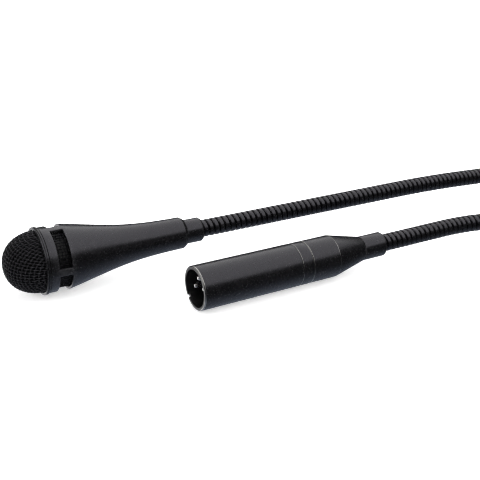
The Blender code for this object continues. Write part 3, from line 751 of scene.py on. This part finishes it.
def slotted_body():
    """The head's housing, with four slots cut through its front."""
    front = RING_END + GAP + RING_STEP
    inside = BAND_R - BODY_WALL - 0.1
    flare = flare_points(26)
    head = fillet([(front, inside), (front, BAND_R), (SLOT_START, BAND_R)], 0.06, closed=False)
    outer = head[1:-1] + [(SLOT_START, BAND_R, 0.2)]
    slot_row = len(outer) - 1
    rear = flare + [
        (BODY_END, BODY_END_R),
        (BODY_END, BODY_BORE_R),
        (BODY_END - BODY_LIP, BODY_BORE_R),
    ]
    outer += [(*rear[0], 0.2)] + fillet(rear, 0.2, closed=False)[1:]
    inner = [(x, r - BODY_WALL, 0.0) for x, r in reversed(flare[1::3]) if x < BODY_END - 2.0]
    inner += [(SLOT_END, FLARE_R - BODY_WALL, 0.2)]
    inner_row = len(outer) + len(inner)
    inner += [(SLOT_START, inside, 0.2), (front, inside, 0.0)]
    outline = outer + inner

    angles, opens = [], []
    quarter = 360.0 / SLOT_COUNT
    in_slot, in_strut = 34, 6
    for n in range(SLOT_COUNT):
        start = quarter * (n + 0.5) + SLOT_TURN - SLOT_ANGLE / 2
        for k in range(in_slot):
            angles.append(start + SLOT_ANGLE * k / in_slot)
            opens.append(True)
        for k in range(in_strut):
            angles.append(start + SLOT_ANGLE + (quarter - SLOT_ANGLE) * k / in_strut)
            opens.append(False)
    sides = len(angles)
    points, wear, faces = [], [], []
    for x, r, w in outline:
        for a in angles:
            t = math.radians(a)
            points.append(HEAD_PLACE @ Vector((x, r * math.cos(t), r * math.sin(t))))
            wear.append(w)
    rows = len(outline)

    def at(row, k):
        return row % rows * sides + k % sides

    for row in range(rows):
        through = row in (slot_row, inner_row - 1)
        for k in range(sides):
            if through and opens[k]:
                continue
            faces.append((at(row, k), at(row, k + 1), at(row + 1, k + 1), at(row + 1, k)))
    front_out, back_out, back_in, front_in = slot_row, slot_row + 1, inner_row - 1, inner_row
    for k in range(sides):
        if opens[k]:
            for out, inn in ((front_out, front_in), (back_out, back_in)):
                faces.append((at(out, k), at(out, k + 1), at(inn, k + 1), at(inn, k)))
        if opens[k] != opens[k - 1]:
            faces.append((at(front_out, k), at(back_out, k), at(back_in, k), at(front_in, k)))
    body = add_piece("head_housing", points, faces, [COAT], {"wear": wear})
    soften_slots(body)
    return body


SLOT_ROUND = 0.26
SLOT_EDGE_FROM = math.radians(50)
SLOT_MARGIN = 0.1


def soften_slots(body):
    """A small round on the slots' edges."""
    bm = bmesh.new()
    bm.from_mesh(body.data)
    back = HEAD_PLACE.inverted()
    chosen = []
    for edge in bm.edges:
        if len(edge.link_faces) != 2 or edge.calc_face_angle() < SLOT_EDGE_FROM:
            continue
        ends = [(back @ (vert.co / MM)).x for vert in edge.verts]
        if SLOT_START - SLOT_MARGIN < min(ends) and max(ends) < SLOT_END + SLOT_MARGIN:
            chosen.append(edge)
    bmesh.ops.bevel(
        bm,
        geom=chosen,
        offset=SLOT_ROUND * MM,
        segments=2,
        affect="EDGES",
        profile=0.5,
        clamp_overlap=True,
    )
    bm.to_mesh(body.data)
    bm.free()
    body.data.shade_smooth()
    body.data.set_sharp_from_angle(angle=math.radians(SHARP_FROM))


def front_ring():
    """The ring that holds the grille, with its thin lip and a fine groove."""
    bore = DOME_R + 0.05
    rear = RING_END - 0.06
    first, last = RING_GROOVE
    outline = [
        (RING_START, bore),
        (RING_START, RING_R - 0.35, 0.12),
        (RING_START + 0.25, RING_R, 0.1),
        (first, RING_R, 0.05),
        (first + RING_GROOVE_SLOPE, RING_R - RING_GROOVE_DEPTH, 0.04),
        (last - RING_GROOVE_SLOPE, RING_R - RING_GROOVE_DEPTH, 0.04),
        (last, RING_R - RING_STEP, 0.05),
        (rear, RING_R - RING_STEP, 0.05),
        (rear, bore),
    ]
    return lathe("front_ring_turned", fillet(outline, 0.1), COAT, HEAD_PLACE, 128)


def head_joint_shadow():
    """A dark ring behind the joint between ring and housing: painted shadow in the gap."""
    (front, middle, rear), (inside, outside) = SHADOW_RING_STATIONS, SHADOW_RING_R
    outline = [(front, inside), (front, outside), (middle, outside), (rear, outside), (rear, inside)]
    return lathe("head_joint_shadow_ring", fillet(outline, 0.05), MOULDING, HEAD_PLACE, 96)


def foam_dome():
    """The foam liner behind the grille, uneven as cut foam is."""
    rows, sides = 40, 96
    points, faces, rings = [], [], []
    rng = np.random.default_rng(5)
    for skin, uneven in ((FOAM_INSET, FOAM_UNEVEN), (FOAM_INSET + FOAM_THICKNESS, 0.0)):
        for k in range(rows + 1):
            x = skin + (FOAM_END - skin) * (k / rows) ** 2
            rings.append(len(points))
            for n in range(sides):
                rise = float(rng.normal(0, 1)) * uneven if 0 < k < rows else 0.0
                r = max(dome_radius(x, skin) + rise, 0.0)
                a = 2 * math.pi * n / sides
                points.append(HEAD_PLACE @ Vector((x, r * math.cos(a), r * math.sin(a))))
    order = rings[: rows + 1] + rings[rows + 1:][::-1]
    for first, second in zip(order, order[1:]):
        band(faces, first, second, sides)
    return add_piece("grille_foam", points, faces, [FOAM], sharp=80.0)


def ferrule(name, shoulder, end, spigot, place=HERE):
    """A ferrule from its shoulder to its free end, with a spigot in front of the shoulder."""
    along, inward = FERRULE_CHAMFER
    outline = [
        (spigot, FERRULE_BORE_R),
        (spigot, SPIGOT_R),
        (shoulder, SPIGOT_R),
        (shoulder, FERRULE_R, 0.25),
        (end - along, FERRULE_R, 0.1),
        (end, FERRULE_R - inward, 0.1),
        (end, FERRULE_BORE_R, 0.12),
    ]
    return lathe(name, fillet(outline, 0.1), COAT, place)


# ---------------------------------------------------------------- plug

COATED, BARE, BORED = range(3)


def barrel():
    """The plug's shell: a rim worn bare on its near side, a plain bore and a notch for the key."""
    face = -PIN_RECESS
    outline = [
        (face, BARREL_BORE_R, 0.22),
        (face, BARREL_R, 0.6),
        (BARREL_END, BARREL_REAR_R, 0.14),
        (BARREL_END, BARREL_BORE_R, 0.1),
    ]
    rounded = fillet(outline, 0.12, 5)

    in_bore = BARREL_BORE_R + 0.05

    def which(x, r):
        if x < face + BARE_RIM_REACH and r > BARREL_R - BARE_RIM_REACH:
            return BARE
        return BORED if r < in_bore or x < face + 0.1 else COATED

    made = lathe("plug_shell", rounded, [COAT, BARE_EDGE, BORE], sides=128, which=which)
    low = (face - 1.0, -NOTCH_HALF_WIDTH, BARREL_BORE_R - 0.6)
    high = (face + NOTCH_DEPTH, NOTCH_HALF_WIDTH, BARREL_R + 1.0)
    cut_with(made, low, high, math.radians(NOTCH_ANGLE) - math.pi / 2)
    far_y, low_z = BARE_RIM_LIMITS
    for polygon in made.data.polygons:
        middle = polygon.center / MM
        if math.hypot(middle.y, middle.z) < in_bore:
            polygon.material_index = BORED
        elif polygon.material_index == BARE and (middle.y > far_y or middle.z < low_z):
            polygon.material_index = COATED
    return made


SHOWN_GAP = 0.6 * GAP


def collar():
    """The band between shell and rear housing, its edges worn to thin bare lines."""
    front = BARREL_END + SHOWN_GAP
    outline = [
        (front, COLLAR_BORE_R),
        (front, BARREL_REAR_R - 0.02, 0.2),
        (COLLAR_END, BARREL_REAR_R - 0.03, 0.2),
        (COLLAR_END, COLLAR_BORE_R),
    ]

    def which(x, r):
        near_end = min(abs(x - front), abs(x - COLLAR_END)) < BARE_LINE
        return BARE if near_end and r > BARREL_REAR_R - BARE_LINE else COATED

    return lathe("plug_band", fillet(outline, 0.1), [COAT, BARE_EDGE], which=which)


def rear_cone():
    """The rear housing that tapers to the ferrule, with a bare line at each of its edges."""
    front = COLLAR_END + SHOWN_GAP
    wide_to, narrow_from = CONE_BORE_TAPER
    outline = [
        (front, COLLAR_BORE_R),
        (front, BARREL_REAR_R - 0.04, 0.2),
        (CONE_START, CONE_START_R, 0.5),
        (CONE_END, CONE_END_R, 0.25),
        (CONE_END, CONE_BORE_R),
        (narrow_from, CONE_BORE_R),
        (wide_to, COLLAR_BORE_R),
    ]

    def which(x, r):
        near_edge = abs(x - CONE_START) < BARE_LINE / 2 or x < front + BARE_LINE
        return BARE if near_edge and r > BARREL_REAR_R - 0.25 else COATED

    return lathe("plug_housing_rear", fillet(outline, 0.1, 4), [COAT, BARE_EDGE], which=which)


def pin_places():
    """Each pin's place across the axis."""
    for angle in PIN_ANGLES:
        turn = math.radians(angle)
        yield PIN_CIRCLE_R * math.cos(turn), PIN_CIRCLE_R * math.sin(turn)


def insert():
    """The moulding that carries the pins, with a low rim and a boss round each pin."""
    outline = [
        (0.0, 0.0),
        (0.0, INSERT_FACE_R, 0.1),
        (-INSERT_RIM, INSERT_FACE_R + 0.15, 0.05),
        (-INSERT_RIM, INSERT_R, 0.12),
        (INSERT_END, INSERT_R, 0.1),
        (INSERT_END, 0.0),
    ]
    made = lathe("pin_carrier", fillet(outline, 0.1, closed=False), MOULDING, closed=False)
    (front, rear), (inside, outside) = BOSS_ENDS, BOSS_R
    ring = fillet([(front, inside), (front, outside, 0.15), (rear, outside), (rear, inside)], 0.08)
    bosses = []
    for number, (y, z) in enumerate(pin_places(), 1):
        place = Matrix.Translation((0, y, z))
        bosses.append(lathe(f"pin_boss_{number}", ring, MOULDING, place, 32))
    return made, bosses


def pins():
    """Plated pins with domed, chamfered tips and solder cups."""
    cup_floor = PIN_END - SOLDER_CUP_DEPTH
    outline = [
        (PIN_TIP, 0.0),
        (PIN_TIP, PIN_TIP_R, 0.5),
        (PIN_TIP + PIN_TAPER, PIN_R, 0.7),
        (PIN_END, PIN_R, 0.1),
        (PIN_END, SOLDER_CUP_R, 0.0),
        (cup_floor, SOLDER_CUP_R, 0.0),
        (cup_floor, 0.0),
    ]
    rounded = fillet(outline, 0.1, 5, closed=False)
    made = []
    for number, (y, z) in enumerate(pin_places(), 1):
        place = Matrix.Translation((0, y, z))
        made.append(lathe(f"contact_pin_{number}", rounded, PLATE, place, 40, closed=False))
    return made


# ---------------------------------------------------------------- neck

RIB_PITCH = 2.7
RIB_DEPTH = 0.75
RIB_CROWN = 0.1
RIB_SAMPLES = (0.0, 0.06, 0.12, 0.19, 0.3, 0.5, 0.7, 0.81, 0.88, 0.94)
RIB_GROOVE = 0.19
NECK_SIDES = 36
NECK_WALL_R = 2.9
NECK_SHOWN_FROM = -8.0
LINING_STEP = 3.0
CABLE_STEP = 2.5
CABLE_SIDES = 12
BLEND_INSET = 2.2


def rib(phase):
    """Radius of the coil and how deep in its groove a point is, at a phase of the pitch."""
    away = min(phase % 1.0, 1.0 - phase % 1.0)
    groove = max(0.0, 1.0 - away / RIB_GROOVE)
    crown = RIB_CROWN * (1.0 - ((away - 0.5) / 0.5) ** 2) if away < 0.5 else RIB_CROWN
    return NECK_R - RIB_CROWN + crown - RIB_DEPTH * groove**1.4, groove


def ribbed_ring(points, groove_shade, lengths, axes_at):
    """Add a ring of the coil's outside, each of its points at its own length."""
    for k, s in enumerate(lengths):
        share = k / NECK_SIDES
        radius, groove = rib(s / RIB_PITCH - share)
        points.append(around(axes_at(s), 2 * math.pi * share, radius))
        # The groove depth also sets the painted groove shade.
        groove_shade.append(groove)


def coil_mesh(low, high):
    """The outside of a stretch of the ribbed neck between two lengths, as one helix."""
    first = int(math.floor(low / RIB_PITCH)) - 1
    last = int(math.ceil(high / RIB_PITCH)) + 1
    levels = [RIB_PITCH * (n + t) for n in range(first, last) for t in RIB_SAMPLES]
    points, groove_shade, faces = [], [], []
    axes = {}

    def axes_at(s):
        key = round(s, 4)
        if key not in axes:
            axes[key] = neck_axes(s)
        return axes[key]

    for level in levels:
        helix = [level + RIB_PITCH * k / NECK_SIDES for k in range(NECK_SIDES)]
        ribbed_ring(points, groove_shade, [min(max(s, low), high) for s in helix], axes_at)
    samples = len(RIB_SAMPLES)
    for i in range(len(levels) - 1):
        for k in range(NECK_SIDES):
            if k < NECK_SIDES - 1:
                corners = ((i, k), (i, k + 1), (i + 1, k + 1), (i + 1, k))
            elif i + 1 + samples < len(levels):
                corners = ((i, k), (i + samples, 0), (i + 1 + samples, 0), (i + 1, k))
            else:
                continue
            quad = [r * NECK_SIDES + c for r, c in corners]
            ends = {tuple(round(v, 4) for v in points[q]) for q in quad}
            if len(ends) >= 3:
                faces.append(quad)
    return points, groove_shade, faces, axes_at


def add_lining(points, groove_shade, faces, low, high, axes_at):
    """The inner wall of a stretch of neck, and the ring that closes each end."""
    start = len(points)
    count = max(2, int((high - low) / LINING_STEP) + 1)
    for i in range(count):
        station = axes_at(low + (high - low) * i / (count - 1))
        for k in range(NECK_SIDES):
            points.append(around(station, 2 * math.pi * k / NECK_SIDES, NECK_WALL_R))
            # The lining counts as fully in a groove, so it takes the darkest painted shade.
            groove_shade.append(1.0)
    for i in range(count - 1):
        band(faces, start + i * NECK_SIDES, start + (i + 1) * NECK_SIDES, NECK_SIDES)
    for s, row in ((low, start), (high, start + (count - 1) * NECK_SIDES)):
        rim = len(points)
        ribbed_ring(points, groove_shade, [s] * NECK_SIDES, axes_at)
        band(faces, row, rim, NECK_SIDES)


def neck_piece(name, low, high):
    """One stretch of the neck, a closed hollow tube."""
    points, groove_shade, faces, axes_at = coil_mesh(low, high)
    add_lining(points, groove_shade, faces, low, high, axes_at)
    return add_piece(name, points, faces, [NECK], {"groove": groove_shade}, sharp=60.0)


def cable_piece(name, low, high):
    """One stretch of the cable inside the neck."""
    points, faces = [], []
    count = max(2, int((high - low) / CABLE_STEP) + 1)
    path = [neck_axes(low + (high - low) * k / (count - 1)) for k in range(count)]
    tube(points, faces, path, CABLE_R, CABLE_SIDES)
    return add_piece(name, points, faces, [SLOT_LOOKS["cable_jacket"]], sharp=60.0)


def make_neck():
    """Ribbed neck and cable, one piece of each for every hinge and one for each end."""
    hinges = hinge_stations()
    between = [(a + b) / 2 for a, b in zip(hinges, hinges[1:])]
    middles = [NECK_FIXED_END] + between + [NECK_LENGTH - NECK_FIXED_END]
    for n, (low, high) in enumerate(zip(middles, middles[1:]), 1):
        start = neck_point(low + BLEND_INSET) * MM
        end = neck_point(high - BLEND_INSET) * MM
        shell = neck_piece(f"neck_coil_{n:02d}", low, high)
        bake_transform(shell)
        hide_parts(f"neck_link_{n + 1:02d}")
        core = cable_piece(f"cable_run_{n:02d}", low, high)
        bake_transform(core)
    plug_end = neck_piece("neck_coil_00", NECK_SHOWN_FROM, middles[0])
    place_piece(plug_end, "plug", "neck_black_coat", "neck_link_01")
    head_end = neck_piece("neck_coil_20", middles[-1], NECK_LENGTH - NECK_SHOWN_FROM)
    place_piece(head_end, "head", "neck_black_coat")
    cable_start = cable_piece("cable_run_00", CABLE_START - PLUG_REAR, middles[0])
    place_piece(cable_start, "plug", "cable_jacket", "cable")
    last = NECK_LENGTH + HEAD_LENGTH - CABLE_END_IN_HEAD
    cable_end = cable_piece("cable_run_20", middles[-1], last)
    place_piece(cable_end, "head", "cable_jacket")


# ---------------------------------------------------------------- assembly

def place_piece(piece, body, slot, *nodes):
    """Ride a piece on its body and hide the CAD nodes it stands for; its slot is not used."""
    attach(piece, body)
    if nodes:
        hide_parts(*nodes)


def paint_cad_nodes():
    """Give every CAD node that stays the look of its slot."""
    slots = {part["node"]: part["material_slot"] for part in frame["record"]["subparts"]}
    for name, node in frame["nodes"].items():
        node.data.materials.clear()
        node.data.materials.append(SLOT_LOOKS[slots[name]])


def make_plug():
    """The plug's pieces, on their body."""
    place_piece(barrel(), "plug", "satin_black_coat", "plug_barrel")
    place_piece(collar(), "plug", "satin_black_coat", "plug_collar")
    place_piece(rear_cone(), "plug", "satin_black_coat", "plug_rear_cone")
    rear = ferrule("plug_ferrule_turned", CONE_END + GAP, PLUG_REAR, PLUG_SPIGOT_START)
    place_piece(rear, "plug", "satin_black_coat", "plug_ferrule")
    carrier, bosses = insert()
    place_piece(carrier, "plug", "black_moulding", "contact_insert")
    for boss in bosses:
        place_piece(boss, "plug", "black_moulding")
    for number, pin in enumerate(pins(), 1):
        place_piece(pin, "plug", "silver_plate", f"pin_{number}")


def make_head():
    """The head's pieces, on their body."""
    place_piece(woven_dome(), "head", "mesh_black_coat", "grille_dome")
    liner = foam_dome()
    place_piece(liner, "head", "black_foam", "foam_liner")
    place_piece(front_ring(), "head", "satin_black_coat", "front_ring")
    place_piece(head_joint_shadow(), "head", "black_moulding")
    place_piece(slotted_body(), "head", "satin_black_coat", "head_body")
    place_piece(woven_cage(), "head", "mesh_black_coat", "cage_mesh")
    spigot = BODY_END - HEAD_SPIGOT
    rear = ferrule("head_ferrule_turned", BODY_END + GAP, HEAD_LENGTH, spigot, HEAD_PLACE)
    place_piece(rear, "head", "satin_black_coat", "head_ferrule")


# ---------------------------------------------------------------- stage

CAMERA_TURN = 29.17
CAMERA_DOWN = 23.61
CAMERA_AIM = (-18.48, -19.885, 408.47)
LENS = 75.0


def make_camera():
    """The camera, placed so that the plug's rim stands at CAMERA_AIM: right, up and deep."""
    turn, down = math.radians(CAMERA_TURN), math.radians(CAMERA_DOWN)
    right = Vector((math.cos(turn), -math.sin(turn), 0.0))
    up = Vector((math.sin(turn) * math.sin(down), math.cos(turn) * math.sin(down), math.cos(down)))
    forward = Vector((math.sin(turn) * math.cos(down), math.cos(turn) * math.cos(down), -math.sin(down)))
    x, y, depth = CAMERA_AIM
    spot = Vector((-PIN_RECESS, 0, 0)) - (right * x + up * y + forward * depth)
    columns = Matrix((right, up, -forward)).transposed().to_4x4()
    data = bpy.data.cameras.new("camera")
    data.sensor_width = 36.0
    data.lens = LENS
    data.clip_start = 0.01
    data.clip_end = 50.0
    camera = bpy.data.objects.new("camera", data)
    camera.matrix_world = Matrix.Translation(spot * MM) @ columns
    bpy.context.scene.collection.objects.link(camera)
    bpy.context.scene.camera = camera


FLOOR_CENTRE = (60.0, 20.0)
FLOOR_R = 1500.0
FLOOR_DROP = 0.02
FLOOR_SIDES = 64
CURVE_R = 1200.0
CURVE_STEPS = 8


def floor_paint():
    """Matt white paint with faint drifts of tone, lifted a little by its own light."""
    n = Nodes("pale_floor")
    n.set(Specular_IOR_Level=0.1, Emission_Color=(1.0, 1.0, 1.0, 1.0), Emission_Strength=0.4)
    drift = n.spread(n.noise(3.0, 2.0), 0.0, 1.0)
    tone = n.blend_colours(drift, (0.90, 0.90, 0.90), (0.92, 0.92, 0.92))
    return n.finish(tone, n.spread(n.noise(40.0), 0.7, 0.8))


def make_floor():
    """A pale floor that curves up into a pale wall all round."""
    profile = [(0.0, 0.0), (FLOOR_R, 0.0)]
    for k in range(1, CURVE_STEPS + 1):
        a = math.pi / 2 * k / CURVE_STEPS
        profile.append((FLOOR_R + CURVE_R * math.sin(a), CURVE_R * (1 - math.cos(a))))
    profile.append((FLOOR_R + CURVE_R, 2 * CURVE_R))
    x, y = FLOOR_CENTRE
    points, faces = [], []
    for r, z in profile:
        for k in range(FLOOR_SIDES):
            a = 2 * math.pi * k / FLOOR_SIDES
            points.append((r * math.cos(a) + x, r * math.sin(a) + y, TABLE_Z - FLOOR_DROP + z))
    for i in range(len(profile) - 1):
        band(faces, i * FLOOR_SIDES, (i + 1) * FLOOR_SIDES, FLOOR_SIDES)
    floor = add_piece("studio_floor", points, faces, [floor_paint()])
    floor.visible_glossy = False


def make_light(name, spot, size, aim, power):
    """A rectangular soft light at a spot, in metres."""
    data = bpy.data.lights.new(name, "AREA")
    data.shape = "RECTANGLE"
    data.size, data.size_y = size
    data.energy = power
    light = bpy.data.objects.new(name, data)
    light.location = spot
    direction = Vector(aim) - Vector(spot)
    light.rotation_euler = direction.to_track_quat("-Z", "Y").to_euler()
    light.visible_camera = False
    bpy.context.scene.collection.objects.link(light)


ROOM_TONES = (
    (0.00, (0.36, 0.41, 0.50)),
    (0.08, (0.36, 0.41, 0.50)),
    (0.16, (0.19, 0.22, 0.27)),
    (0.26, (0.07, 0.08, 0.095)),
    (0.38, (0.026, 0.028, 0.032)),
    (0.50, (0.026, 0.026, 0.028)),
    (1.00, (0.08, 0.08, 0.082)),
)
SWEEP_FACING = (-0.447, 0.80, -0.40)
SWEEP_EDGE = (0.80, 0.95)
SWEEP_TONE = (1.3, 1.3, 1.32, 1.0)


def make_world():
    """A dim room, pale from below as over a white table, with one bright sweep that lights the
    surfaces that mirror it.
    """
    world = bpy.data.worlds.new("room")
    world.use_nodes = True
    tree = world.node_tree
    coordinates = tree.nodes.new("ShaderNodeTexCoord")
    split = tree.nodes.new("ShaderNodeSeparateXYZ")
    height = tree.nodes.new("ShaderNodeMapRange")
    ramp = tree.nodes.new("ShaderNodeValToRGB")
    height.inputs["From Min"].default_value = -1.0
    tree.links.new(coordinates.outputs["Generated"], split.inputs["Vector"])
    tree.links.new(split.outputs["Z"], height.inputs["Value"])
    tree.links.new(height.outputs["Result"], ramp.inputs["Fac"])
    facing = tree.nodes.new("ShaderNodeVectorMath")
    facing.operation = "DOT_PRODUCT"
    facing.inputs[1].default_value = SWEEP_FACING
    tree.links.new(coordinates.outputs["Generated"], facing.inputs[0])
    sweep = tree.nodes.new("ShaderNodeMapRange")
    sweep.interpolation_type = "SMOOTHSTEP"
    sweep.inputs["From Min"].default_value, sweep.inputs["From Max"].default_value = SWEEP_EDGE
    tree.links.new(facing.outputs["Value"], sweep.inputs["Value"])
    mix = tree.nodes.new("ShaderNodeMix")
    mix.data_type = "RGBA"
    mix.inputs["B"].default_value = SWEEP_TONE
    tree.links.new(sweep.outputs["Result"], mix.inputs["Factor"])
    tree.links.new(ramp.outputs["Color"], mix.inputs["A"])
    tree.links.new(mix.outputs["Result"], tree.nodes["Background"].inputs["Color"])
    stops = ramp.color_ramp.elements
    while len(stops) < len(ROOM_TONES):
        stops.new(0.5)
    for stop, (spot, tone) in zip(stops, ROOM_TONES):
        stop.position = spot
        stop.color = (*tone, 1.0)
    bpy.context.scene.world = world


def make_stage():
    """Camera, floor, lights and room."""
    make_camera()
    make_floor()
    make_light("overhead_softbox", (1.0, 0.7, 1.5), (3.0, 6.6), (1.0, 0.7, 0.0), 96.0)
    make_light("front_strip", (1.0, -2.45, 1.5), (3.0, 1.1), (1.0, -2.45, 0.0), 11.0)
    make_light("left_softbox", (-1.3, 0.25, 0.75), (0.6, 0.6), (0.0, 0.0, 0.0), 5.0)
    make_world()
    bpy.context.scene.view_settings.view_transform = "Standard"
    bpy.context.scene.cycles.filter_width = 1.1


paint_cad_nodes()
make_neck()
make_plug()
make_head()
make_stage()
